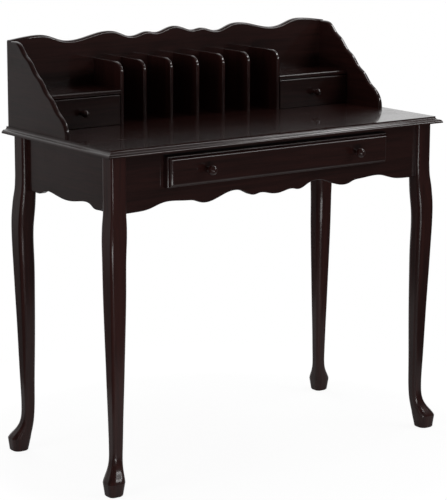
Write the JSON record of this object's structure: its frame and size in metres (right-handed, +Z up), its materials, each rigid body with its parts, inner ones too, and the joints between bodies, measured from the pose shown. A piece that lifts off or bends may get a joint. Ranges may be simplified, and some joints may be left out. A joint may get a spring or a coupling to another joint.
{
  "type": "bonheur du jour writing desk",
  "caption": "Small writing desk on cabriole legs with scalloped aprons, a lipped drawer, and a hutch with a scalloped back, letter dividers, shelves and small inset drawers.",
  "frame": {"origin": "on the floor, under the middle of the whole desk with its drawers closed", "axes": "+X to the right of someone who sits at the desk, +Y to the back, +Z up"},
  "size_m": [0.944, 0.4696, 0.9655],
  "materials": {
    "lacquered_wood": "dark cherry stain under glossy lacquer",
    "plain_wood": "plain sanded wood",
    "zinc_steel": "zinc plated"
  },
  "bodies": {
    "desk": {"desk_top": "lacquered_wood", "leg_front_left": "lacquered_wood", "leg_front_right": "lacquered_wood", "leg_back_left": "lacquered_wood", "leg_back_right": "lacquered_wood", "front_apron": "lacquered_wood", "left_apron": "lacquered_wood", "right_apron": "lacquered_wood", "back_apron": "lacquered_wood", "corner_block_front_left": "plain_wood", "corner_block_front_right": "plain_wood", "corner_block_back_left": "plain_wood", "corner_block_back_right": "plain_wood", "leg_bolts": "zinc_steel", "leg_washers": "zinc_steel", "leg_nuts": "zinc_steel", "drawer_runner_left": "plain_wood", "drawer_runner_right": "plain_wood", "hutch_back": "lacquered_wood", "hutch_left_side": "lacquered_wood", "hutch_right_side": "lacquered_wood", "hutch_partition_left": "lacquered_wood", "hutch_partition_right": "lacquered_wood", "letter_divider_1": "lacquered_wood", "letter_divider_2": "lacquered_wood", "letter_divider_3": "lacquered_wood", "letter_divider_4": "lacquered_wood", "letter_divider_5": "lacquered_wood", "shelf_left": "lacquered_wood", "shelf_right": "lacquered_wood"},
    "wide_drawer": {"drawer_front": "lacquered_wood", "drawer_left_side": "plain_wood", "drawer_right_side": "plain_wood", "drawer_back": "plain_wood", "drawer_bottom": "plain_wood", "drawer_knob_left": "lacquered_wood", "drawer_knob_right": "lacquered_wood", "drawer_knob_screws": "zinc_steel"},
    "left_drawer": {"left_drawer_front": "lacquered_wood", "left_drawer_left_side": "plain_wood", "left_drawer_right_side": "plain_wood", "left_drawer_back": "plain_wood", "left_drawer_bottom": "plain_wood", "left_drawer_knob": "lacquered_wood", "left_drawer_knob_screw": "zinc_steel"},
    "right_drawer": {"right_drawer_front": "lacquered_wood", "right_drawer_left_side": "plain_wood", "right_drawer_right_side": "plain_wood", "right_drawer_back": "plain_wood", "right_drawer_bottom": "plain_wood", "right_drawer_knob": "lacquered_wood", "right_drawer_knob_screw": "zinc_steel"}
  },
  "joints": [
    {"name": "wide_drawer_slide", "type": "slide", "parent": "desk", "child": "wide_drawer", "axis": [0, -1, 0], "range_m": [0, 0.24]},
    {"name": "left_drawer_slide", "type": "slide", "parent": "desk", "child": "left_drawer", "axis": [0, -1, 0], "range_m": [0, 0.07]},
    {"name": "right_drawer_slide", "type": "slide", "parent": "desk", "child": "right_drawer", "axis": [0, -1, 0], "range_m": [0, 0.07]}
  ]
}
